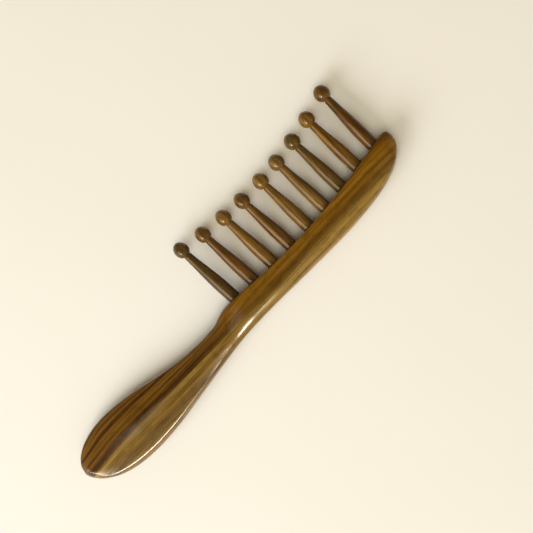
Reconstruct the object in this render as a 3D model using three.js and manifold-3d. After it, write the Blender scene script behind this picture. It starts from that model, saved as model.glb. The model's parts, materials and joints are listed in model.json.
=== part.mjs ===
// Wide tooth comb, handled, wooden, with nine turned ball-ended teeth.
// Millimetres. +X runs along the comb from the butt of the handle to the tip of the head,
// +Y points where the teeth point, +Z is up, through the thickness of the board.
// The comb lies flat on z = 0. The origin is under the middle of its length and width.

import * as THREE from 'three';
import { ParametricGeometry } from 'three/addons/geometries/ParametricGeometry.js';
import { mergeVertices } from 'three/addons/utils/BufferGeometryUtils.js';
import Module from 'manifold-3d';

const wasm = await Module();
wasm.setup();

// ---- Board: handle and spine, one piece of wood ----
const THICKNESS = 13;
// Share of the thickness lost at the neck, and where it falls away and comes back.
const NECK_THINNING = 0.13;
const NECK_FALL = [-84, -34];
const NECK_RISE = [-25, -10];
const BUTT_DOME = 40;
const TIP_DOME = 12.5;
// Width of the side strip outside the arris round the butt, fading out along the grip.
const STRIP_BACK = 1.35;
const STRIP_FRONT = 0.7;
const STRIP_END = [-80, -52];

// Half sections from the middle of the face (0, 1) to the widest line (1, 0), in shares of
// the half width and half height. The face is level at first and falls to the arris, and
// the side strip runs from there to the widest line. round says how much of the legs beside
// it each corner's rounding takes up.
const HANDLE_BACK = { stops: [[0.3, 1], [0.87, 0.75], [1, 0.28]], round: [0.5, 0.16, 0.5] };
const HANDLE_FRONT = { stops: [[0.3, 1], [0.955, 0.7], [1, 0.28]], round: [0.5, 0.2, 0.5] };
const NECK_BACK = { stops: [[0.42, 1], [0.92, 0.7], [1, 0.26]], round: [0.5, 0.5, 0.5] };
const HEAD_BACK = { stops: [[0.05, 1], [0.8, 0.76], [1, 0.26]], round: [0.5, 0.5, 0.5] };
const TOOTH_EDGE = { stops: [[0.75, 1], [0.9, 0.975], [1, 0.35]], round: [0.3, 0.25, 0.5] };
const BUTT_END = {
  stops: [[0.2, 1], [0.9, 0.79], [0.958, 0.64], [1, 0.28]],
  round: [0.5, 0.15, 0.25, 0.5],
};
const TIP_END = { stops: [[0.4, 1], [0.88, 0.8], [1, 0.3]], round: [0.5, 0.35, 0.5] };
// Where along the comb one section turns into the next.
const HEEL = [-32, -12];
const GRIP_TO_NECK = [-52, -24];
const NECK_TO_HEAD = [2, 24];
// Widest share of the half width at which a side strip can start, back and front.
const BACK_ARRIS = 0.85;
const FRONT_ARRIS = 0.93;
const NARROWEST_FACE = 0.03;
// How far either side of a place the outline is looked at to find its slope there.
const SLOPE_REACH = 0.1;

const BOARD_STATIONS = 84;
const QUARTER_STEPS = 10;
const BEND_STEPS = 12;
// How much a right angle of bend counts against length when section points are shared out.
const BEND_WEIGHT = 0.5;
// Shares of the stations that are drawn close together in the two domed ends.
const BUTT_SHARE = 0.26;
const TIP_SHARE = 0.12;

// Outline of the board seen from above, before centring. The tooth side runs from the butt
// to the tip of the head, the back runs on from the tip to the butt.
const TOOTH_SIDE = [
  [-119, -5], [-117.9, -1.4], [-115, 2], [-110, 5.1], [-103, 7.2], [-95, 8],
  [-85, 7.3], [-75, 5.6], [-62, 2.2], [-50, -0.2], [-40, -1.35], [-32, -1.55],
  [-26, -1.1], [-22, 0.3], [-18, 1.3], [-14, 1.5], [-6, 1.2], [6, -0.3],
  [20, -1.1], [36, -1.25], [50, -0.6], [66, 0.8], [80, 2.5], [91, 3.7],
  [93.3, 3.8], [95.4, 2.8],
];
const BACK_SIDE = [
  [96.4, -0.4], [95, -4.9], [92, -8.2], [87, -11.4], [80, -13.9], [72, -15.5],
  [62, -16.5], [50, -17], [35, -16.75], [18, -16.1], [0, -15.4], [-14, -15.25],
  [-25, -15.75], [-40, -17.4], [-55, -19.2], [-70, -21], [-82, -21.65], [-91, -21.3],
  [-100, -19.9], [-108, -17.1], [-114, -13.1], [-117.2, -9.6], [-118.6, -7.2],
];

// ---- Teeth: turned pegs with egg-shaped ends ----
const TOOTH_COUNT = 9;
const FIRST_TOOTH_X = -10.25;
const TOOTH_PITCH = 12.1;
// The tooth ends lie on a shallow arc.
const TIP_ARC_RADIUS = 201;
const TIP_ARC_X = 33.6;
const TIP_ARC_Y = 33.8;
// The teeth are set by hand, so each leans a little, in degrees towards the tip of the head,
// and stands a little off its place.
const TOOTH_LEAN = [-1.6, -1.2, -0.7, -1.0, -0.1, -0.5, -0.3, 0.1, 2.1];
const TOOTH_SHIFT = [0, 0, 0.1, -0.05, 0.1, -0.2, -0.15, -0.15, 0.4];

const SHAFT_BASE_RADIUS = 3.25;
const SHAFT_STRAIGHT = 8;
const NECK_RADIUS = 2;
// How far the middle of the shaft swells outside a straight taper, near its base and its neck.
const BASE_SWELL = -0.15;
const NECK_SWELL = 0.25;
const TAPER_PART = 0.35;
const SMALLEST_BALL_RADIUS = 3.64;
const BALL_RADIUS_STEP = 0.035;
const BALL_DOME = 4.5;
const BALL_SHOULDER = 3.9;
const BALL_POINT = 1.04;
const TENON_LENGTH = 8;
const SOCKET_GAP = 0.15;
const SOCKET_END_GAP = 0.3;
const SOCKET_CLEARANCE = 3;
const TOOTH_SIDES = 24;
const SHAFT_STEPS = 4;
const SHOULDER_STEPS = 4;
const DOME_STEPS = 6;
const OUTLINE_STEPS = 40;

// Corners closer together than this are one corner.
const MERGE_DISTANCE = 1e-4;

const BOARD_ROUGHNESS = 0.32;
const TOOTH_ROUGHNESS = 0.3;
const BOARD_COLOUR = 0x6e5426;
const TOOTH_COLOURS = [
  0x4f4630, 0x59432f, 0x775c35, 0x55452c, 0x7a6234, 0x6d5733, 0x57502f, 0x7a5f31, 0x5a4a2c,
];

// Smooth 0 to 1 step between two places.
function ramp(value, start, end) {
  return THREE.MathUtils.smoothstep(value, start, end);
}

// The closed outline, split into the two sides, each a list of points in order of x.
function outlineSides() {
  const points = [...TOOTH_SIDE, ...BACK_SIDE].map(([x, y]) => new THREE.Vector3(x, y, 0));
  const curve = new THREE.CatmullRomCurve3(points, true, 'centripetal');
  const loop = curve.getPoints(OUTLINE_STEPS * points.length).slice(0, -1);
  const butt = loop.reduce((best, p, i) => (p.x < loop[best].x ? i : best), 0);
  const turned = [...loop.slice(butt), ...loop.slice(0, butt)];
  const tip = turned.reduce((best, p, i) => (p.x > turned[best].x ? i : best), 0);
  const toothSide = turned.slice(0, tip + 1);
  const backSide = [...turned.slice(tip), turned[0]].reverse();
  return { toothSide, backSide };
}

const { toothSide, backSide } = outlineSides();
const BUTT_X = toothSide[0].x;
const TIP_X = toothSide[toothSide.length - 1].x;

// Where one side of the outline is at a given x.
function sideY(side, x) {
  let low = 0;
  let high = side.length - 1;
  while (high - low > 1) {
    const middle = (low + high) >> 1;
    if (side[middle].x <= x) {
      low = middle;
    } else {
      high = middle;
    }
  }
  const part = (x - side[low].x) / (side[high].x - side[low].x);
  return THREE.MathUtils.lerp(side[low].y, side[high].y, THREE.MathUtils.clamp(part, 0, 1));
}

// A half section with its corners rounded.
function roundedSection(shape) {
  const stops = [[0, 1], ...shape.stops, [1, 0]].map(([across, up]) => new THREE.Vector2(across, up));
  const points = [stops[0]];
  shape.round.forEach((share, i) => {
    const [before, corner, after] = stops.slice(i, i + 3);
    const start = corner.clone().lerp(before, share);
    const end = corner.clone().lerp(after, share);
    points.push(...new THREE.QuadraticBezierCurve(start, corner, end).getPoints(BEND_STEPS));
  });
  points.push(stops[stops.length - 1]);
  return points;
}

// The same half section as a set number of points, closest together on its bends.
function sharedOut(points, steps) {
  const legs = points.slice(1).map((point, i) => point.clone().sub(points[i]));
  const along = [0];
  legs.forEach((leg, i) => {
    const next = legs[Math.min(i + 1, legs.length - 1)];
    const bend = leg.length() * next.length() > 0 ? leg.angleTo(next) : 0;
    along.push(along[i] + leg.length() + BEND_WEIGHT * (bend / (0.5 * Math.PI)));
  });
  const total = along[along.length - 1];
  return Array.from({ length: steps + 1 }, (_, i) => {
    const at = total * (i / steps);
    const leg = Math.min(along.findIndex((end, k) => k > 0 && end >= at) - 1, legs.length - 1);
    const from = Math.max(0, i === steps ? legs.length - 1 : leg);
    const part = (at - along[from]) / (along[from + 1] - along[from]);
    return points[from].clone().lerp(points[from + 1], part);
  });
}

const QUARTERS = Object.fromEntries(
  Object.entries({ HANDLE_BACK, HANDLE_FRONT, NECK_BACK, HEAD_BACK, TOOTH_EDGE })
    .map(([name, shape]) => [name, sharedOut(roundedSection(shape), QUARTER_STEPS)]),
);
const BUTT_PROFILE = roundedSection(BUTT_END);
const TIP_PROFILE = roundedSection(TIP_END);

// Height of a domed end at a share of its reach; 0 is where the dome begins, 1 is the very end.
function domeHeight(profile, share) {
  if (share <= 0) {
    return 1;
  }
  const next = profile.findIndex((point) => point.x > share);
  if (next < 0) {
    return 0;
  }
  const [before, after] = [profile[next - 1], profile[next]];
  const part = (share - before.x) / (after.x - before.x);
  return THREE.MathUtils.lerp(before.y, after.y, part);
}

// Half the thickness of the board at x: domed at both ends and thinner at the neck.
function crownHeight(x) {
  const buttDome = domeHeight(BUTT_PROFILE, (BUTT_X + BUTT_DOME - x) / BUTT_DOME);
  const tipDome = domeHeight(TIP_PROFILE, (x - TIP_X + TIP_DOME) / TIP_DOME);
  const dip = ramp(x, ...NECK_FALL) * (1 - ramp(x, ...NECK_RISE));
  return 0.5 * THICKNESS * buttDome * tipDome * (1 - NECK_THINNING * dip);
}

// How steeply one side of the outline runs at x.
function sideSlope(side, x) {
  const before = Math.max(x - SLOPE_REACH, BUTT_X);
  const after = Math.min(x + SLOPE_REACH, TIP_X);
  return (sideY(side, after) - sideY(side, before)) / (after - before);
}

// Moves a share of the half width so that the arris stays a strip's width inside the outline.
function keepStrip(across, arris, halfWidth, slope, strip) {
  const inset = halfWidth > 0 ? (strip * Math.hypot(1, slope)) / halfWidth : 0;
  const place = Math.max(NARROWEST_FACE, 1 - inset);
  if (place >= arris) {
    return across;
  }
  if (across <= arris) {
    return (across * place) / arris;
  }
  return place + ((across - arris) * (1 - place)) / (1 - arris);
}

// Stations along the board: evenly spaced in the middle, closer and closer towards both ends.
function stationX(u) {
  if (u < BUTT_SHARE) {
    return BUTT_X + BUTT_DOME * (1 - Math.cos(0.5 * Math.PI * (u / BUTT_SHARE)));
  }
  if (u > 1 - TIP_SHARE) {
    return TIP_X - TIP_DOME * (1 - Math.cos(0.5 * Math.PI * ((1 - u) / TIP_SHARE)));
  }
  const part = (u - BUTT_SHARE) / (1 - BUTT_SHARE - TIP_SHARE);
  return THREE.MathUtils.lerp(BUTT_X + BUTT_DOME, TIP_X - TIP_DOME, part);
}

// A point on the board's surface: u runs along it and v runs around its section, from the
// widest line on the tooth side, under the board, to the back and over the top.
function boardPoint(u, v, target) {
  const x = stationX(u);
  const high = sideY(toothSide, x);
  const low = sideY(backSide, x);
  const halfWidth = 0.5 * (high - low);
  const step = Math.round(4 * QUARTER_STEPS * v);
  const quarter = Math.min(3, Math.floor(step / QUARTER_STEPS));
  const within = step - quarter * QUARTER_STEPS;
  const index = quarter % 2 === 0 ? QUARTER_STEPS - within : within;
  const onTop = quarter > 1;
  const inFront = quarter === 0 || quarter === 3;
  const share = new THREE.Vector2();
  const nearButt = 1 - ramp(x, ...STRIP_END);
  if (inFront) {
    share.lerpVectors(QUARTERS.HANDLE_FRONT[index], QUARTERS.TOOTH_EDGE[index], ramp(x, ...HEEL));
    const slope = sideSlope(toothSide, x);
    share.x = keepStrip(share.x, FRONT_ARRIS, halfWidth, slope, STRIP_FRONT * nearButt);
  } else {
    const toNeck = ramp(x, ...GRIP_TO_NECK);
    share.lerpVectors(QUARTERS.HANDLE_BACK[index], QUARTERS.NECK_BACK[index], toNeck);
    share.lerp(QUARTERS.HEAD_BACK[index], ramp(x, ...NECK_TO_HEAD));
    const slope = sideSlope(backSide, x);
    share.x = keepStrip(share.x, BACK_ARRIS, halfWidth, slope, STRIP_BACK * nearButt);
  }
  target.set(
    x,
    0.5 * (high + low) + (inFront ? 1 : -1) * halfWidth * share.x,
    (onTop ? 1 : -1) * crownHeight(x) * share.y,
  );
}

// A closed solid from a geometry, with shared corners merged.
function solidOf(geometry) {
  const bare = geometry.clone();
  bare.deleteAttribute('normal');
  bare.deleteAttribute('uv');
  const merged = mergeVertices(bare, MERGE_DISTANCE);
  const corners = merged.index.array;
  const kept = [];
  for (let i = 0; i < corners.length; i += 3) {
    const [a, b, c] = [corners[i], corners[i + 1], corners[i + 2]];
    if (a !== b && b !== c && c !== a) {
      kept.push(a, b, c);
    }
  }
  const mesh = new wasm.Mesh({
    numProp: 3,
    vertProperties: new Float32Array(merged.attributes.position.array),
    triVerts: new Uint32Array(kept),
  });
  return new wasm.Manifold(mesh);
}

// A geometry from a closed solid.
function geometryOf(solid) {
  const mesh = solid.getMesh();
  const geometry = new THREE.BufferGeometry();
  geometry.setAttribute('position', new THREE.BufferAttribute(new Float32Array(mesh.vertProperties), 3));
  geometry.setIndex(new THREE.BufferAttribute(new Uint32Array(mesh.triVerts), 1));
  geometry.computeVertexNormals();
  return geometry;
}

// Where each tooth stands: its foot on the tooth edge, its lean and its length from the foot.
function toothPlan(index) {
  const footX = FIRST_TOOTH_X + TOOTH_PITCH * index + TOOTH_SHIFT[index];
  const footY = sideY(toothSide, footX);
  const lean = THREE.MathUtils.degToRad(TOOTH_LEAN[index]);
  const endX = footX + (TIP_ARC_Y - footY) * Math.tan(lean);
  const endY = TIP_ARC_Y + (endX - TIP_ARC_X) ** 2 / (2 * TIP_ARC_RADIUS);
  return {
    foot: new THREE.Vector3(footX, footY, 0),
    lean,
    length: (endY - footY) / Math.cos(lean),
    ballRadius: SMALLEST_BALL_RADIUS + BALL_RADIUS_STEP * index,
  };
}

// Turns a shape that stands along +Y and puts its zero at the foot of a tooth.
function standAtFoot(geometry, plan) {
  geometry.rotateZ(-plan.lean);
  geometry.translate(plan.foot.x, plan.foot.y, plan.foot.z);
  return geometry;
}

// The drilled blind socket of one tooth, as the solid that is cut away.
function socketCutter(plan) {
  const depth = TENON_LENGTH + SOCKET_END_GAP;
  const drill = new THREE.CylinderGeometry(
    SHAFT_BASE_RADIUS + SOCKET_GAP,
    SHAFT_BASE_RADIUS + SOCKET_GAP,
    depth + SOCKET_CLEARANCE,
    TOOTH_SIDES,
  );
  drill.translate(0, 0.5 * (SOCKET_CLEARANCE - depth), 0);
  return solidOf(standAtFoot(drill, plan));
}

// Turned profile of one tooth, from the hidden tenon to the end of the ball.
function toothProfile(plan) {
  const ballMiddle = plan.length - BALL_DOME;
  const neckAngle = Math.acos(NECK_RADIUS / plan.ballRadius);
  const neckY = ballMiddle - BALL_SHOULDER * Math.sin(neckAngle);
  const shaftY = (share) => THREE.MathUtils.lerp(SHAFT_STRAIGHT, neckY, share);
  const shaft = new THREE.CubicBezierCurve(
    new THREE.Vector2(SHAFT_BASE_RADIUS, SHAFT_STRAIGHT),
    new THREE.Vector2(SHAFT_BASE_RADIUS + BASE_SWELL, shaftY(TAPER_PART)),
    new THREE.Vector2(NECK_RADIUS + NECK_SWELL, shaftY(1 - TAPER_PART)),
    new THREE.Vector2(NECK_RADIUS, neckY),
  );
  const points = [
    new THREE.Vector2(0, -TENON_LENGTH),
    new THREE.Vector2(SHAFT_BASE_RADIUS, -TENON_LENGTH),
    ...shaft.getPoints(SHAFT_STEPS),
  ];
  for (let i = 1; i <= SHOULDER_STEPS; i += 1) {
    const angle = neckAngle * (1 - i / SHOULDER_STEPS);
    points.push(new THREE.Vector2(
      plan.ballRadius * Math.cos(angle),
      ballMiddle - BALL_SHOULDER * Math.sin(angle),
    ));
  }
  for (let i = 1; i < DOME_STEPS; i += 1) {
    const angle = 0.5 * Math.PI * (i / DOME_STEPS);
    points.push(new THREE.Vector2(
      plan.ballRadius * Math.cos(angle) ** BALL_POINT,
      ballMiddle + BALL_DOME * Math.sin(angle),
    ));
  }
  points.push(new THREE.Vector2(0, plan.length));
  return points;
}

function woodMaterial(colour, roughness) {
  return new THREE.MeshStandardMaterial({ color: colour, roughness, metalness: 0 });
}

// Handle and spine in one, with a blind socket for every tooth.
function makeBody(plans) {
  let solid = solidOf(new ParametricGeometry(boardPoint, BOARD_STATIONS, 4 * QUARTER_STEPS));
  for (const plan of plans) {
    solid = solid.subtract(socketCutter(plan));
  }
  const body = new THREE.Mesh(geometryOf(solid), woodMaterial(BOARD_COLOUR, BOARD_ROUGHNESS));
  body.name = 'comb_body';
  return body;
}

function makeTooth(plan, index) {
  const geometry = standAtFoot(new THREE.LatheGeometry(toothProfile(plan), TOOTH_SIDES), plan);
  const tooth = new THREE.Mesh(geometry, woodMaterial(TOOTH_COLOURS[index], TOOTH_ROUGHNESS));
  tooth.name = `tooth_${index + 1}`;
  return tooth;
}

// Puts the origin under the middle of the comb's length and width, with the face on z = 0.
function centre(group) {
  const box = new THREE.Box3().setFromObject(group);
  group.position.set(-0.5 * (box.min.x + box.max.x), -0.5 * (box.min.y + box.max.y), 0.5 * THICKNESS);
  group.updateMatrixWorld(true);
}

const comb = new THREE.Group();
const plans = Array.from({ length: TOOTH_COUNT }, (_, index) => toothPlan(index));
comb.add(makeBody(plans));
plans.forEach((plan, index) => comb.add(makeTooth(plan, index)));
centre(comb);

export default comb;
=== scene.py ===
"""Looks of the wide tooth comb: a smooth wooden board and nine turned teeth around the CAD frame."""

import json
import math

import bmesh
import bpy
import numpy as np
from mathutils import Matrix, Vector

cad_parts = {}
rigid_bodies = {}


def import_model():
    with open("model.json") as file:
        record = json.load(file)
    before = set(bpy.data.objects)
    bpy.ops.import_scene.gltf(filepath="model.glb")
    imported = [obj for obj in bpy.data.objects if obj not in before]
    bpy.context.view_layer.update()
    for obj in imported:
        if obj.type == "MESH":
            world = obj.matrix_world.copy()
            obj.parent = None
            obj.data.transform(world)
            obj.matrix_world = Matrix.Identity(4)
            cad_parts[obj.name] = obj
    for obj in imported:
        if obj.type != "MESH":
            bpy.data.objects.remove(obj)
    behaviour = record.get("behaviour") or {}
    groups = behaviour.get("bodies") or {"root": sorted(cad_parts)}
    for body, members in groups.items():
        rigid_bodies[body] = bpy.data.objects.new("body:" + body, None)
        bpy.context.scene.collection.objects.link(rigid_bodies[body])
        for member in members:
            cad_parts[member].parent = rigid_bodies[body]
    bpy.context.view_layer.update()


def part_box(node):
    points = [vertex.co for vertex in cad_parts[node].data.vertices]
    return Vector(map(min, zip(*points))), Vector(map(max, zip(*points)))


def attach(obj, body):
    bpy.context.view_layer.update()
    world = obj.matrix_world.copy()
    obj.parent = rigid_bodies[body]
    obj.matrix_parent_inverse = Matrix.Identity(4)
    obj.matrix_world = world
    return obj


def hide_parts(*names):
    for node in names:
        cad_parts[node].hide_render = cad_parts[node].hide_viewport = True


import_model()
MM = 0.001

# ---------------------------------------------------------------- the comb's own shape, in mm
THICKNESS = 13.0
NECK_THINNING = 0.13
NECK_FALL = (-84.0, -34.0)
NECK_RISE = (-25.0, -10.0)
BUTT_DOME = 40.0
STRIP_BACK = 1.35
STRIP_FRONT = 0.7
STRIP_END = (-80.0, -52.0)
TIP_DOME = 12.5

# Half sections from the middle of the face (0, 1) to the widest line (1, 0), in shares of
# the half width and half height. The face is level at first and falls to the arris, and
# the side strip runs from there to the widest line. "round" is how much of the legs beside
# it each corner's rounding takes up.
HANDLE = {"stops": [(0.30, 1), (0.87, 0.75), (1, 0.28)], "round": (0.5, 0.16, 0.5)}
HANDLE_FRONT = {"stops": [(0.30, 1), (0.955, 0.70), (1, 0.28)], "round": (0.5, 0.20, 0.5)}
NECK = {"stops": [(0.42, 1), (0.92, 0.70), (1, 0.26)], "round": (0.5, 0.5, 0.5)}
HEAD_BACK = {"stops": [(0.05, 1), (0.80, 0.76), (1, 0.26)], "round": (0.5, 0.5, 0.5)}
TOOTH_EDGE = {"stops": [(0.75, 1), (0.90, 0.975), (1, 0.35)], "round": (0.3, 0.25, 0.5)}
BUTT_END = {
    "stops": [(0.20, 1), (0.90, 0.79), (0.958, 0.64), (1, 0.28)],
    "round": (0.5, 0.15, 0.25, 0.5),
}
TIP_END = {"stops": [(0.40, 1), (0.88, 0.80), (1, 0.30)], "round": (0.5, 0.35, 0.5)}
HEEL_START_X = -32.0
HEEL_END_X = -12.0
HANDLE_END_X = -52.0
NECK_START_X = -24.0
NECK_END_X = 2.0
HEAD_START_X = 24.0
# Widest share of the half width at which a side strip can start, back and front.
BACK_ARRIS = 0.85
FRONT_ARRIS = 0.93
NARROWEST_FACE = 0.03
# How far either side of a place the outline is looked at to find its slope there.
SLOPE_REACH = 0.1

# How finely the board is drawn: the outline's curve, its even samples and their smoothing,
# the points of a half section and of a domed end, and the sections along the board.
CURVE_STEPS = 30
OUTLINE_SAMPLES = 4000
OUTLINE_SMOOTHING = 8.0
CORNER_POINTS = 40
SECTION_POINTS = 40
DOME_POINTS = 400
MIDDLE_STATIONS = 260
END_STATIONS = 60
# A leg of a section longer than this is split, and bends draw points together by this weight.
LONG_LEG = 0.06
LEG_SPLITS = 4
BEND_WEIGHT = 0.35
SHARP_ANGLE = 40.0

TOOTH_SIDE = [
    (-119, -5), (-117.9, -1.4), (-115, 2), (-110, 5.1), (-103, 7.2), (-95, 8),
    (-85, 7.3), (-75, 5.6), (-62, 2.2), (-50, -0.2), (-40, -1.35), (-32, -1.55),
    (-26, -1.1), (-22, 0.3), (-18, 1.3), (-14, 1.5), (-6, 1.2), (6, -0.3),
    (20, -1.1), (36, -1.25), (50, -0.6), (66, 0.8), (80, 2.5), (91, 3.7),
    (93.3, 3.8), (95.4, 2.8),
]
BACK_SIDE = [
    (96.4, -0.4), (95, -4.9), (92, -8.2), (87, -11.4), (80, -13.9), (72, -15.5),
    (62, -16.5), (50, -17), (35, -16.75), (18, -16.1), (0, -15.4), (-14, -15.25),
    (-25, -15.75), (-40, -17.4), (-55, -19.2), (-70, -21), (-82, -21.65), (-91, -21.3),
    (-100, -19.9), (-108, -17.1), (-114, -13.1), (-117.2, -9.6), (-118.6, -7.2),
]

TOOTH_COUNT = 9
FIRST_TOOTH_X = -10.25
TOOTH_PITCH = 12.1
TIP_ARC_RADIUS = 201.0
TIP_ARC_X = 33.6
TIP_ARC_Y = 33.8
TOOTH_LEAN = [-1.6, -1.2, -0.7, -1.0, -0.1, -0.5, -0.3, 0.1, 2.1]
TOOTH_SHIFT = [0, 0, 0.1, -0.05, 0.1, -0.2, -0.15, -0.15, 0.4]
SHAFT_BASE_RADIUS = 3.25
SHAFT_STRAIGHT = 8.0
# How far the middle of the shaft swells outside a straight taper, near its base and its neck.
BASE_SWELL = -0.15
NECK_SWELL = 0.25
TAPER_PART = 0.35
NECK_RADIUS = 2.0
# The turned groove under each ball.
GROOVE_DEPTH = 0.22
GROOVE_REACH = 0.35
SMALLEST_BALL_RADIUS = 3.64
BALL_RADIUS_STEP = 0.035
BALL_DOME = 4.5
BALL_SHOULDER = 3.9
BALL_POINT = 1.04
TENON_LENGTH = 8.0
SOCKET_GAP = 0.15
SOCKET_END_GAP = 0.3
SOCKET_CLEARANCE = 3.0
TURNED_SIDES = 64


def smooth(value, start, end):
    part = min(max((value - start) / (end - start), 0.0), 1.0)
    return part * part * (3 - 2 * part)


def closed_curve(points, steps):
    """Centripetal Catmull-Rom curve through a closed list of points."""
    pts = np.array(points, float)
    n = len(pts)
    out = []
    for i in range(n):
        p0, p1, p2, p3 = pts[i - 1], pts[i], pts[(i + 1) % n], pts[(i + 2) % n]
        d0 = np.linalg.norm(p1 - p0) ** 0.5
        d1 = np.linalg.norm(p2 - p1) ** 0.5
        d2 = np.linalg.norm(p3 - p2) ** 0.5
        m1 = ((p1 - p0) / d0 - (p2 - p0) / (d0 + d1) + (p2 - p1) / d1) * d1
        m2 = ((p2 - p1) / d1 - (p3 - p1) / (d1 + d2) + (p3 - p2) / d2) * d1
        for t in np.arange(steps) / steps:
            h = (2 * t**3 - 3 * t**2 + 1, t**3 - 2 * t**2 + t, -2 * t**3 + 3 * t**2, t**3 - t**2)
            out.append(h[0] * p1 + h[1] * m1 + h[2] * p2 + h[3] * m2)
    return np.array(out)


def even_loop(loop, count):
    """The same closed loop, resampled at even steps."""
    ring = np.vstack([loop, loop[:1]])
    along = np.concatenate([[0], np.cumsum(np.linalg.norm(np.diff(ring, axis=0), axis=1))])
    at = np.linspace(0, along[-1], count, endpoint=False)
    return np.stack([np.interp(at, along, ring[:, k]) for k in range(2)], -1)


def fair_loop(loop, sigma):
    """A closed loop with its small unevenness blurred away; sigma is in samples."""
    reach = int(4 * sigma)
    weights = np.exp(-0.5 * (np.arange(-reach, reach + 1) / sigma) ** 2)
    weights /= weights.sum()
    out = np.zeros_like(loop)
    for shift, weight in zip(range(-reach, reach + 1), weights):
        out += weight * np.roll(loop, shift, axis=0)
    return out


def outline_sides():
    curve = closed_curve(TOOTH_SIDE + BACK_SIDE, CURVE_STEPS)
    loop = fair_loop(even_loop(curve, OUTLINE_SAMPLES), OUTLINE_SMOOTHING)
    loop = np.roll(loop, -int(loop[:, 0].argmin()), axis=0)
    tip = int(loop[:, 0].argmax())
    return loop[: tip + 1], np.vstack([loop[tip:], loop[:1]])[::-1]


tooth_side, back_side = outline_sides()
BUTT_X = tooth_side[0, 0]
TIP_X = tooth_side[-1, 0]


def side_y(side, x):
    return np.interp(x, side[:, 0], side[:, 1])


def corner(before, at, after, share, count):
    """Points of one rounded corner."""
    start = at + (before - at) * share
    end = at + (after - at) * share
    t = np.linspace(0, 1, count)[:, None]
    return (1 - t) ** 2 * start + 2 * t * (1 - t) * at + t**2 * end


def half_section(shape, count):
    """The rounded half section of a shape, as points from (0, 1) to (1, 0)."""
    stops = np.array([(0, 1), *shape["stops"], (1, 0)], float)
    points = [stops[:1]]
    for i, share in enumerate(shape["round"]):
        points.append(corner(stops[i], stops[i + 1], stops[i + 2], share, count))
    points.append(stops[-1:])
    points = np.vstack(points)
    spread = [points[:1]]
    for a, b in zip(points, points[1:]):
        steps = LEG_SPLITS if np.linalg.norm(b - a) > LONG_LEG else 1
        spread += [a + (b - a) * (k / steps) for k in range(1, steps + 1)]
    return np.vstack(spread)


def half_points(shape, count=SECTION_POINTS):
    """The unit half section at a fixed number of points, closest together on its bends."""
    points = half_section(shape, CORNER_POINTS)
    step = np.diff(points, axis=0)
    turn = np.abs(np.diff(np.unwrap(np.arctan2(step[:, 1], step[:, 0]))))
    weight = np.linalg.norm(step, axis=1) + BEND_WEIGHT * np.append(turn, 0)
    along = np.concatenate([[0], np.cumsum(weight)])
    at = np.linspace(0, along[-1], count)
    return np.stack([np.interp(at, along, points[:, k]) for k in range(2)], -1)


BUTT_PROFILE = half_points(BUTT_END, DOME_POINTS)
TIP_PROFILE = half_points(TIP_END, DOME_POINTS)
SHAPES = {
    name: half_points(shape)
    for name, shape in (
        ("handle", HANDLE),
        ("handle_front", HANDLE_FRONT),
        ("neck", NECK),
        ("head_back", HEAD_BACK),
        ("tooth_edge", TOOTH_EDGE),
    )
}


def crown_height(x):
    butt = max(0.0, (BUTT_X + BUTT_DOME - x) / BUTT_DOME)
    tip = max(0.0, (x - TIP_X + TIP_DOME) / TIP_DOME)
    butt_dome = np.interp(butt, BUTT_PROFILE[:, 0], BUTT_PROFILE[:, 1])
    tip_dome = np.interp(tip, TIP_PROFILE[:, 0], TIP_PROFILE[:, 1])
    dip = smooth(x, *NECK_FALL) * (1 - smooth(x, *NECK_RISE))
    return 0.5 * THICKNESS * butt_dome * tip_dome * (1 - NECK_THINNING * dip)


def place():
    """From the comb's own millimetres to the row frame in metres, by the CAD board's box."""
    low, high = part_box("comb_body")
    own = np.array([BUTT_X, back_side[:, 1].min(), 0.0])
    return Vector((low.x - own[0] * MM, low.y - own[1] * MM, 0.5 * (low.z + high.z)))


ORIGIN = place()


def to_row(points):
    return np.asarray(points, float) * MM + np.array(ORIGIN)


# ---------------------------------------------------------------- meshes
def stations(count_mid, count_end):
    """x of each section: evenly spaced in the middle, closer together towards the round ends."""
    ramp = 1 - np.cos(0.5 * np.pi * np.linspace(0, 1, count_end))
    butt = BUTT_X + BUTT_DOME * ramp
    tip = TIP_X - TIP_DOME * ramp[::-1]
    return np.concatenate([butt, np.linspace(butt[-1], tip[0], count_mid)[1:-1], tip])


def blend(a, b, share):
    return a + (b - a) * share


def keep_strip(shape, arris, half, slope, strip):
    """Hold the arris at least a strip's width inside the outline, measured square to it."""
    at = max(NARROWEST_FACE, 1 - strip * math.sqrt(1 + slope**2) / half)
    if at >= arris:
        return shape
    out = shape.copy()
    inner = shape[:, 0] <= arris
    out[inner, 0] = shape[inner, 0] * at / arris
    out[~inner, 0] = at + (shape[~inner, 0] - arris) * (1 - at) / (1 - arris)
    return out


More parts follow.
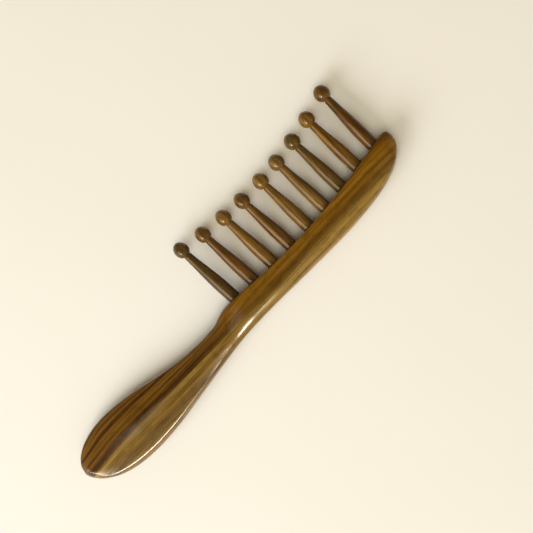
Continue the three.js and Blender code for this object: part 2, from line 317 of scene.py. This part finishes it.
def board_section(x):
    """One closed section of the board, as (x, y, z) in mm."""
    high, low = side_y(tooth_side, x), side_y(back_side, x)
    half = 0.5 * (high - low)
    back = blend(SHAPES["handle"], SHAPES["neck"], smooth(x, HANDLE_END_X, NECK_START_X))
    back = blend(back, SHAPES["head_back"], smooth(x, NECK_END_X, HEAD_START_X))
    front = blend(SHAPES["handle_front"], SHAPES["tooth_edge"], smooth(x, HEEL_START_X, HEEL_END_X))
    inside = np.clip([x - SLOPE_REACH, x + SLOPE_REACH], BUTT_X, TIP_X)
    rise = 0.5 * (side_y(tooth_side, inside[1]) - side_y(tooth_side, inside[0])) / SLOPE_REACH
    fall = 0.5 * (side_y(back_side, inside[1]) - side_y(back_side, inside[0])) / SLOPE_REACH
    near_butt = 1 - smooth(x, *STRIP_END)
    front = keep_strip(front, FRONT_ARRIS, half, rise, STRIP_FRONT * near_butt)
    back = keep_strip(back, BACK_ARRIS, half, fall, STRIP_BACK * near_butt)
    flip_y, flip_z = np.array([-1, 1]), np.array([1, -1])
    ring = np.vstack([
        front[::-1][:-1],
        (back * flip_y)[:-1],
        (back * flip_y * flip_z)[::-1][:-1],
        (front * flip_z)[:-1],
    ])
    return np.stack([
        np.full(len(ring), x),
        0.5 * (high + low) + half * ring[:, 0],
        crown_height(x) * ring[:, 1],
    ], -1)


def mesh_object(name, rings, start=None, end=None):
    """A closed mesh from rings of points (mm); start and end are pole points."""
    bm = bmesh.new()
    rows = [[bm.verts.new(p) for p in to_row(ring)] for ring in rings]
    for a, b in zip(rows, rows[1:]):
        n = len(a)
        for i in range(n):
            j = (i + 1) % n
            bm.faces.new((a[i], a[j], b[j], b[i]))
    for pole, row in ((start, rows[0]), (end, rows[-1])):
        tip = bm.verts.new(to_row([pole])[0])
        for i in range(len(row)):
            bm.faces.new((tip, row[i], row[(i + 1) % len(row)]))
    bmesh.ops.recalc_face_normals(bm, faces=bm.faces)
    mesh = bpy.data.meshes.new(name)
    bm.to_mesh(mesh)
    bm.free()
    mesh.shade_smooth()
    obj = bpy.data.objects.new(name, mesh)
    bpy.context.scene.collection.objects.link(obj)
    return obj


def tooth_plan(index):
    foot_x = FIRST_TOOTH_X + TOOTH_PITCH * index + TOOTH_SHIFT[index]
    foot_y = float(side_y(tooth_side, foot_x))
    lean = math.radians(TOOTH_LEAN[index])
    end_x = foot_x + (TIP_ARC_Y - foot_y) * math.tan(lean)
    end_y = TIP_ARC_Y + (end_x - TIP_ARC_X) ** 2 / (2 * TIP_ARC_RADIUS)
    return {
        "foot": np.array([foot_x, foot_y, 0.0]),
        "lean": lean,
        "length": (end_y - foot_y) / math.cos(lean),
        "ball": SMALLEST_BALL_RADIUS + BALL_RADIUS_STEP * index,
    }


def turned_rings(profile, plan, sides):
    """Rings of a turned piece that stands on the foot of a tooth; profile is (radius, height)."""
    angle = 2 * np.pi * np.arange(sides) / sides
    lean = plan["lean"]
    rings = []
    for radius, height in profile:
        x = radius * np.cos(angle)
        z = radius * np.sin(angle)
        y = np.full(sides, height)
        rings.append(np.stack([
            x * math.cos(lean) + y * math.sin(lean),
            -x * math.sin(lean) + y * math.cos(lean),
            z,
        ], -1) + plan["foot"])
    return rings


def bezier(a, b, c, d, count):
    t = np.linspace(0, 1, count)[:, None]
    a, b, c, d = (np.array(p, float) for p in (a, b, c, d))
    return (1 - t) ** 3 * a + 3 * (1 - t) ** 2 * t * b + 3 * (1 - t) * t**2 * c + t**3 * d


def tooth_profile(plan):
    middle = plan["length"] - BALL_DOME
    neck_angle = math.acos(NECK_RADIUS / plan["ball"])
    neck_y = middle - BALL_SHOULDER * math.sin(neck_angle)
    shaft = bezier(
        (SHAFT_BASE_RADIUS, SHAFT_STRAIGHT),
        (SHAFT_BASE_RADIUS + BASE_SWELL, (1 - TAPER_PART) * SHAFT_STRAIGHT + TAPER_PART * neck_y),
        (NECK_RADIUS + NECK_SWELL, TAPER_PART * SHAFT_STRAIGHT + (1 - TAPER_PART) * neck_y),
        (NECK_RADIUS, neck_y),
        120,
    )
    shaft = [
        (r - GROOVE_DEPTH * math.exp(-(((neck_y - h) / GROOVE_REACH) ** 2)), h)
        for r, h in shaft
    ]
    tenon = [(r, -TENON_LENGTH) for r in np.linspace(0.6, SHAFT_BASE_RADIUS - 0.2, 5)]
    tenon += [(SHAFT_BASE_RADIUS, h) for h in np.linspace(-TENON_LENGTH + 0.2, SHAFT_STRAIGHT, 20)]
    shoulder = [
        (plan["ball"] * math.cos(a), middle - BALL_SHOULDER * math.sin(a))
        for a in np.linspace(neck_angle, 0, 20)
    ]
    dome = [
        (plan["ball"] * math.cos(a) ** BALL_POINT, middle + BALL_DOME * math.sin(a))
        for a in np.linspace(0, math.radians(88), 30)
    ]
    return tenon + shaft[1:] + shoulder[1:] + dome[1:]


def tooth_object(index):
    plan = tooth_plan(index)
    rings = turned_rings(tooth_profile(plan), plan, TURNED_SIDES)
    start = turned_rings([(0, -TENON_LENGTH)], plan, 1)[0][0]
    end = turned_rings([(0, plan["length"])], plan, 1)[0][0]
    return mesh_object(f"turned_tooth_{index + 1}", rings, start, end)


def socket_cutter(index):
    plan = tooth_plan(index)
    radius = SHAFT_BASE_RADIUS + SOCKET_GAP
    low, high = -TENON_LENGTH - SOCKET_END_GAP, SOCKET_CLEARANCE
    rings = turned_rings([(radius, low), (radius, high)], plan, TURNED_SIDES)
    start = turned_rings([(0, low)], plan, 1)[0][0]
    end = turned_rings([(0, high)], plan, 1)[0][0]
    return mesh_object(f"cutter_{index}", rings, start, end)


def cut(body, cutters):
    for cutter in cutters:
        mod = body.modifiers.new("cut", "BOOLEAN")
        mod.operation = "DIFFERENCE"
        mod.solver = "EXACT"
        mod.object = cutter
    bpy.context.view_layer.update()
    graph = bpy.context.evaluated_depsgraph_get()
    done = bpy.data.meshes.new_from_object(body.evaluated_get(graph))
    body.modifiers.clear()
    body.data = done
    for cutter in cutters:
        bpy.data.objects.remove(cutter)


def board_object():
    xs = stations(MIDDLE_STATIONS, END_STATIONS)
    rings = [board_section(x) for x in xs[1:-1]]
    start = (BUTT_X, side_y(tooth_side, BUTT_X), 0)
    end = (TIP_X, side_y(tooth_side, TIP_X), 0)
    body = mesh_object("polished_board", rings, start, end)
    cut(body, [socket_cutter(i) for i in range(TOOTH_COUNT)])
    body.data.shade_smooth()
    body.data.set_sharp_from_angle(angle=math.radians(SHARP_ANGLE))
    return body


# ---------------------------------------------------------------- materials
BASE_ROUGHNESS = 0.13
FINE_GLOSS = 0.14
PATCH_GLOSS = 0.08
GRAIN_BUMP = 0.25
GRAIN_HEIGHT = 0.00004
WOOD_IOR = 1.5


def srgb(r, g, b):
    def one(v):
        v /= 255
        return v / 12.92 if v <= 0.04045 else ((v + 0.055) / 1.055) ** 2.4
    return (one(r), one(g), one(b), 1.0)


class Nodes:
    """Small helper that adds and links shader nodes."""

    def __init__(self, tree):
        self.tree = tree
        tree.nodes.clear()

    def add(self, kind, **settings):
        node = self.tree.nodes.new(kind)
        for key, value in settings.items():
            setattr(node, key, value)
        return node

    def link(self, source, target):
        self.tree.links.new(source, target)

    def value(self, socket, source):
        if isinstance(source, (int, float)):
            socket.default_value = source
        else:
            self.link(source, socket)

    def math(self, operation, a, b=0.0, c=0.0):
        node = self.add("ShaderNodeMath", operation=operation)
        self.value(node.inputs[0], a)
        self.value(node.inputs[1], b)
        self.value(node.inputs[2], c)
        return node.outputs[0]

    def ramp(self, source, stops, smooth_steps=True):
        node = self.add("ShaderNodeValToRGB")
        node.color_ramp.interpolation = "B_SPLINE" if smooth_steps else "LINEAR"
        elements = node.color_ramp.elements
        while len(elements) < len(stops):
            elements.new(0.5)
        for element, (at, colour) in zip(elements, sorted(stops)):
            element.position = at
            element.color = colour
        self.link(source, node.inputs[0])
        return node.outputs[0]

    def noise(self, vector, scale, detail=3.0, rough=0.5, distortion=0.0):
        node = self.add("ShaderNodeTexNoise")
        self.link(vector, node.inputs["Vector"])
        node.inputs["Scale"].default_value = scale
        node.inputs["Detail"].default_value = detail
        node.inputs["Roughness"].default_value = rough
        node.inputs["Distortion"].default_value = distortion
        return node.outputs["Fac"]

    def mix(self, factor, a, b, blend="MIX"):
        node = self.add("ShaderNodeMix", data_type="RGBA", blend_type=blend)
        self.value(node.inputs[0], factor)
        for socket, source in ((node.inputs[6], a), (node.inputs[7], b)):
            if isinstance(source, tuple):
                socket.default_value = source
            else:
                self.link(source, socket)
        return node.outputs[2]

    def stretched(self, coords, scale, location=(0, 0, 0)):
        node = self.add("ShaderNodeMapping")
        node.inputs["Scale"].default_value = scale
        node.inputs["Location"].default_value = location
        self.link(coords, node.inputs["Vector"])
        return node.outputs[0]


def board_wood():
    mat = bpy.data.materials.new("board_wood")
    mat.use_nodes = True
    n = Nodes(mat.node_tree)
    coords = n.add("ShaderNodeTexCoord").outputs["Object"]
    own = n.stretched(coords, (1000, 1000, 1000), tuple(-1000 * part for part in ORIGIN))
    parts = n.add("ShaderNodeSeparateXYZ")
    n.link(own, parts.inputs[0])
    x, y, z = parts.outputs
    # The grain swells round the grip and runs level through the head, with a slow waviness.
    wave = n.noise(n.stretched(own, (0.014, 0.05, 0.05)), 1.0, 2.0)
    wave = n.math("MULTIPLY_ADD", wave, 3.0, -1.5)
    to_neck = n.math("MAXIMUM", n.math("MULTIPLY_ADD", x, 1 / 36, 92 / 36), 0.0)
    to_butt = n.math("MAXIMUM", n.math("MULTIPLY_ADD", x, -1 / 17, -96 / 17), 0.0)
    off_grip = n.math("ADD", to_neck, to_butt)
    off_grip = n.math("MULTIPLY", off_grip, off_grip)
    off_grip = n.math("SUBTRACT", 1.0, n.math("POWER", math.e, n.math("MULTIPLY", off_grip, -1.0)))
    along = n.math("MULTIPLY_ADD", x, 1 / 60, 50 / 60)
    to_head = n.ramp(along, [(0.2, (0, 0, 0, 1)), (0.8, (1, 1, 1, 1))])
    upper = n.add("ShaderNodeClamp")
    n.link(n.math("MULTIPLY_ADD", y, 1 / 12, 9 / 12), upper.inputs[0])
    upper.inputs[2].default_value = 1.2
    swell = n.math("MULTIPLY", n.math("MULTIPLY", off_grip, 4.6), upper.outputs[0])
    swell = n.math("MULTIPLY", swell, n.math("SUBTRACT", 1.0, to_head))
    across = n.math("ADD", n.math("ADD", y, wave), swell)
    across = n.math("ADD", across, n.math("MULTIPLY_ADD", z, -0.3, 0.3 * 0.5 * THICKNESS))
    place01 = n.math("MULTIPLY_ADD", across, 1 / 32, 22 / 32)

    def bands(stops):
        return n.ramp(place01, [((at + 22) / 32, srgb(*tone)) for at, tone in stops], False)

    grip = bands([
        (9.0, (118, 86, 25)), (7.4, (93, 63, 13)), (6.4, (119, 84, 24)), (5.2, (101, 68, 15)),
        (4.2, (114, 79, 21)), (3.4, (66, 39, 8)), (2.6, (64, 38, 7)), (1.8, (100, 67, 15)),
        (-0.6, (112, 79, 22)), (-1.8, (82, 53, 10)), (-3.0, (104, 72, 20)), (-4.4, (80, 51, 11)),
        (-5.6, (55, 32, 4)), (-7.4, (80, 54, 14)), (-8.8, (140, 114, 54)), (-10.4, (104, 79, 30)),
        (-12.6, (113, 87, 36)), (-14.6, (82, 60, 18)), (-16.5, (102, 78, 27)), (-18.5, (109, 84, 34)),
    ])
    head = bands([
        (1.5, (95, 62, 7)), (-1.4, (113, 77, 14)), (-2.8, (118, 85, 22)), (-4.2, (98, 66, 9)),
        (-5.6, (111, 79, 21)), (-7.2, (86, 59, 13)), (-8.6, (89, 64, 19)), (-10.0, (107, 82, 31)),
        (-11.6, (133, 107, 50)), (-13.2, (111, 85, 35)), (-15.5, (135, 108, 54)),
    ])
    base = n.mix(to_head, grip, head)
    warped = n.add("ShaderNodeCombineXYZ")
    n.link(x, warped.inputs[0])
    n.link(across, warped.inputs[1])
    n.link(z, warped.inputs[2])
    lines = warped.outputs[0]
    streak = n.noise(n.stretched(lines, (0.022, 0.6, 0.3)), 1.0, 3.0, 0.6)
    veins = n.noise(n.stretched(lines, (0.03, 1.8, 0.5)), 1.0, 3.0, 0.6)
    mottle = n.noise(n.stretched(lines, (0.16, 0.3, 0.2)), 1.0, 3.0, 0.6)
    fine = n.noise(n.stretched(lines, (0.06, 2.4, 1.2)), 1.0, 4.0, 0.65)
    broad = n.ramp(streak, [
        (0.34, (0.60, 0.55, 0.45, 1)), (0.5, (1.0, 1.0, 1.0, 1)), (0.66, (1.42, 1.40, 1.30, 1)),
    ])
    vein = n.ramp(veins, [
        (0.36, (0.42, 0.36, 0.26, 1)), (0.47, (0.98, 0.97, 0.95, 1)), (0.64, (1.42, 1.42, 1.32, 1)),
    ])
    thin = n.ramp(fine, [
        (0.34, (0.55, 0.52, 0.46, 1)), (0.5, (1, 1, 1, 1)), (0.68, (1.5, 1.5, 1.45, 1)),
    ])
    shimmer = n.ramp(mottle, [
        (0.36, (0.78, 0.77, 0.74, 1)), (0.5, (1, 1, 1, 1)), (0.64, (1.26, 1.26, 1.22, 1)),
    ])
    calm = n.math("MULTIPLY_ADD", to_head, -0.30, 0.85)
    colour = n.mix(calm, base, broad, "MULTIPLY")
    colour = n.mix(calm, colour, vein, "MULTIPLY")
    colour = n.mix(0.8, colour, thin, "MULTIPLY")
    colour = n.mix(1.0, colour, shimmer, "MULTIPLY")
    # The edges are worn a little lighter.
    geometry = n.add("ShaderNodeNewGeometry")
    worn = n.ramp(geometry.outputs["Pointiness"], [
        (0.505, (1, 1, 1, 1)), (0.56, (1.22, 1.20, 1.14, 1)),
    ])
    colour = n.mix(1.0, colour, worn, "MULTIPLY")
    finish_wood(n, colour, fine, own, BASE_ROUGHNESS)
    return mat


def finish_wood(n, colour, fine, own, rough):
    """Oiled, polished surface: grain shows a little in the gloss and in the height."""
    shader = n.add("ShaderNodeBsdfPrincipled")
    n.link(colour, shader.inputs["Base Color"])
    patch = n.noise(own, 0.12, 2.0)
    gloss = n.math("MULTIPLY_ADD", fine, FINE_GLOSS, rough - 0.5 * FINE_GLOSS)
    gloss = n.math("MULTIPLY_ADD", patch, PATCH_GLOSS, gloss)
    n.link(gloss, shader.inputs["Roughness"])
    shader.inputs["IOR"].default_value = WOOD_IOR
    bump = n.add("ShaderNodeBump")
    bump.inputs["Strength"].default_value = GRAIN_BUMP
    bump.inputs["Distance"].default_value = GRAIN_HEIGHT
    n.link(fine, bump.inputs["Height"])
    n.link(bump.outputs[0], shader.inputs["Normal"])
    out = n.add("ShaderNodeOutputMaterial")
    n.link(shader.outputs[0], out.inputs[0])


TOOTH_TONES = [
    (94, 70, 29), (111, 77, 31), (130, 96, 38), (115, 83, 32), (130, 97, 39),
    (128, 96, 44), (105, 79, 32), (128, 92, 29), (99, 67, 21),
]


def tooth_wood(index):
    mat = bpy.data.materials.new(f"tooth_wood_{index + 1}")
    mat.use_nodes = True
    n = Nodes(mat.node_tree)
    coords = n.add("ShaderNodeTexCoord").outputs["Object"]
    own = n.stretched(coords, (1000, 1000, 1000), (37.0 * index, 11.0 * index, 5.0 * index))
    wave = n.noise(n.stretched(own, (0.06, 0.02, 0.06)), 1.0, 2.0)
    parts = n.add("ShaderNodeSeparateXYZ")
    n.link(own, parts.inputs[0])
    x, y, z = parts.outputs
    across = n.math("MULTIPLY_ADD", wave, 4.0, x)
    warped = n.add("ShaderNodeCombineXYZ")
    n.link(across, warped.inputs[0])
    n.link(y, warped.inputs[1])
    n.link(z, warped.inputs[2])
    streak = n.noise(n.stretched(warped.outputs[0], (0.6, 0.05, 0.6)), 1.0, 4.0, 0.6)
    fine = n.noise(n.stretched(warped.outputs[0], (1.9, 0.16, 1.9)), 1.0, 4.0, 0.65)
    r, g, b = TOOTH_TONES[index]
    base = n.ramp(streak, [
        (0.34, srgb(0.70 * r, 0.66 * g, 0.55 * b)),
        (0.5, srgb(r, g, b)),
        (0.66, srgb(1.20 * r, 1.21 * g, 1.2 * b)),
    ])
    thin = n.ramp(fine, [
        (0.36, (0.55, 0.52, 0.46, 1)), (0.5, (1, 1, 1, 1)), (0.64, (1.45, 1.45, 1.4, 1)),
    ])
    colour = n.mix(0.75, base, thin, "MULTIPLY")
    finish_wood(n, colour, fine, own, BASE_ROUGHNESS)
    return mat


# ---------------------------------------------------------------- build
board = board_object()
board.data.materials.clear()
board.data.materials.append(board_wood())
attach(board, "root")
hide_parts("comb_body")
for i in range(TOOTH_COUNT):
    tooth = tooth_object(i)
    tooth.data.materials.append(tooth_wood(i))
    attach(tooth, "root")
    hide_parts(f"tooth_{i + 1}")


# ---------------------------------------------------------------- floor, light, camera
FLOOR_HALF = 3.0


def floor():
    mesh = bpy.data.meshes.new("floor")
    half = FLOOR_HALF
    corners = [(-half, -half, 0), (half, -half, 0), (half, half, 0), (-half, half, 0)]
    mesh.from_pydata(corners, [], [(0, 1, 2, 3)])
    obj = bpy.data.objects.new("floor", mesh)
    bpy.context.scene.collection.objects.link(obj)
    mat = bpy.data.materials.new("floor_paper")
    mat.use_nodes = True
    n = Nodes(mat.node_tree)
    coords = n.add("ShaderNodeTexCoord").outputs["Object"]
    soft = n.noise(coords, 9.0, 3.0)
    colour = n.ramp(soft, [(0.3, (0.85, 0.83, 0.78, 1)), (0.7, (0.87, 0.85, 0.80, 1))])
    shader = n.add("ShaderNodeBsdfPrincipled")
    n.link(colour, shader.inputs["Base Color"])
    shader.inputs["Roughness"].default_value = 0.75
    shader.inputs["Specular IOR Level"].default_value = 0.2
    out = n.add("ShaderNodeOutputMaterial")
    n.link(shader.outputs[0], out.inputs[0])
    mesh.materials.append(mat)
    return obj


def area(name, azimuth, elevation, distance, width, height, strength, colour):
    """A soft window; azimuth runs from +X towards +Y and elevation up from the floor, in degrees."""
    az, el = math.radians(azimuth), math.radians(elevation)
    target = Vector((0.0, 0.0, 0.006))
    toward = Vector((math.cos(el) * math.cos(az), math.cos(el) * math.sin(az), math.sin(el)))
    light = bpy.data.lights.new(name, "AREA")
    light.shape = "RECTANGLE"
    light.size = width
    light.size_y = height
    light.color = colour
    light.energy = strength * width * height * math.pi
    obj = bpy.data.objects.new(name, light)
    obj.location = target + toward * distance
    obj.rotation_euler = toward.to_track_quat("Z", "Y").to_euler()
    bpy.context.scene.collection.objects.link(obj)
    return obj


teeth = [thing for thing in bpy.context.scene.objects if thing.name.startswith("turned")]
paper = floor()


def light_only(light, things):
    """Keep a light to some of the scene, so that what shines on the gloss throws no long shadow."""
    group = bpy.data.collections.new(light.name + "_reach")
    for thing in things:
        group.objects.link(thing)
    light.light_linking.receiver_collection = group


WARM = (1.0, 0.93, 0.80)
CREAM = (1.0, 0.95, 0.80)
WHITE = (0.985, 1.01, 1.07)
COMB_LIGHTS = (
    ("window_left", 204, 36, 1.6, 0.90, 0.24, 16.0, [board]),
    ("window_right", 241, 43, 1.6, 0.90, 0.27, 40.0, [board]),
    ("tooth_window", 214, 36, 1.6, 0.34, 0.20, 48.0, teeth),
    ("tooth_haze", 186, 36, 1.6, 0.90, 1.10, 3.1, teeth),
    ("wall_left", 184, 22, 1.6, 1.1, 0.8, 1.8, [board]),
    ("lamp", 190, 70.5, 1.6, 0.09, 0.09, 9.0, [board]),
    ("far_lamp", 190, 77.5, 1.6, 0.07, 0.07, 5.0, [board]),
)
for name, *where, reach in COMB_LIGHTS:
    light_only(area(name, *where, WARM), reach)
light_only(area("floor_light", 215, 73, 1.6, 1.0, 1.0, 3.8, CREAM), [paper])
light_only(area("floor_window", 188, 28, 1.6, 1.0, 0.9, 7.6, WHITE), [paper])


def room():
    """Dim overhead, bright low down on the window side."""
    world = bpy.data.worlds.new("room")
    world.use_nodes = True
    bpy.context.scene.world = world
    n = Nodes(world.node_tree)
    direction = n.add("ShaderNodeTexCoord").outputs["Generated"]
    az, el = math.radians(205), math.radians(18)
    toward = (math.cos(el) * math.cos(az), math.cos(el) * math.sin(az), math.sin(el))
    dot = n.add("ShaderNodeVectorMath", operation="DOT_PRODUCT")
    n.link(direction, dot.inputs[0])
    dot.inputs[1].default_value = toward
    part = n.math("MULTIPLY_ADD", dot.outputs["Value"], 0.5, 0.5)
    glow = n.ramp(part, [
        (0.0, (0.27, 0.215, 0.135, 1)),
        (0.5, (0.31, 0.25, 0.155, 1)),
        (0.75, (0.46, 0.385, 0.26, 1)),
        (1.0, (0.72, 0.64, 0.48, 1)),
    ])
    split = n.add("ShaderNodeSeparateXYZ")
    n.link(direction, split.inputs[0])
    overhead = n.ramp(split.outputs[2], [
        (0.0, (1, 1, 1, 1)), (0.70, (1, 1, 1, 1)),
        (0.90, (0.2, 0.2, 0.2, 1)), (1.0, (0.10, 0.10, 0.10, 1)),
    ])
    glow = n.mix(1.0, glow, overhead, "MULTIPLY")
    background = n.add("ShaderNodeBackground")
    n.link(glow, background.inputs[0])
    background.inputs[1].default_value = 1.2
    out = n.add("ShaderNodeOutputWorld")
    n.link(background.outputs[0], out.inputs[0])


room()

VIEW_WIDTH = 0.2518
VIEW_DISTANCE = 0.42
VIEW_TURN = -46.8
camera = bpy.data.cameras.new("camera")
camera.sensor_fit = "HORIZONTAL"
camera.angle = 2 * math.atan(0.5 * VIEW_WIDTH / VIEW_DISTANCE)
camera.dof.use_dof = False
camera_object = bpy.data.objects.new("camera", camera)
centre = to_row([(10.75, 0.0, 0.0)])[0]
camera_object.location = (centre[0], centre[1], centre[2] + VIEW_DISTANCE)
camera_object.rotation_euler = (0, 0, math.radians(VIEW_TURN))
bpy.context.scene.collection.objects.link(camera_object)
bpy.context.scene.camera = camera_object
bpy.context.scene.view_settings.view_transform = "Standard"
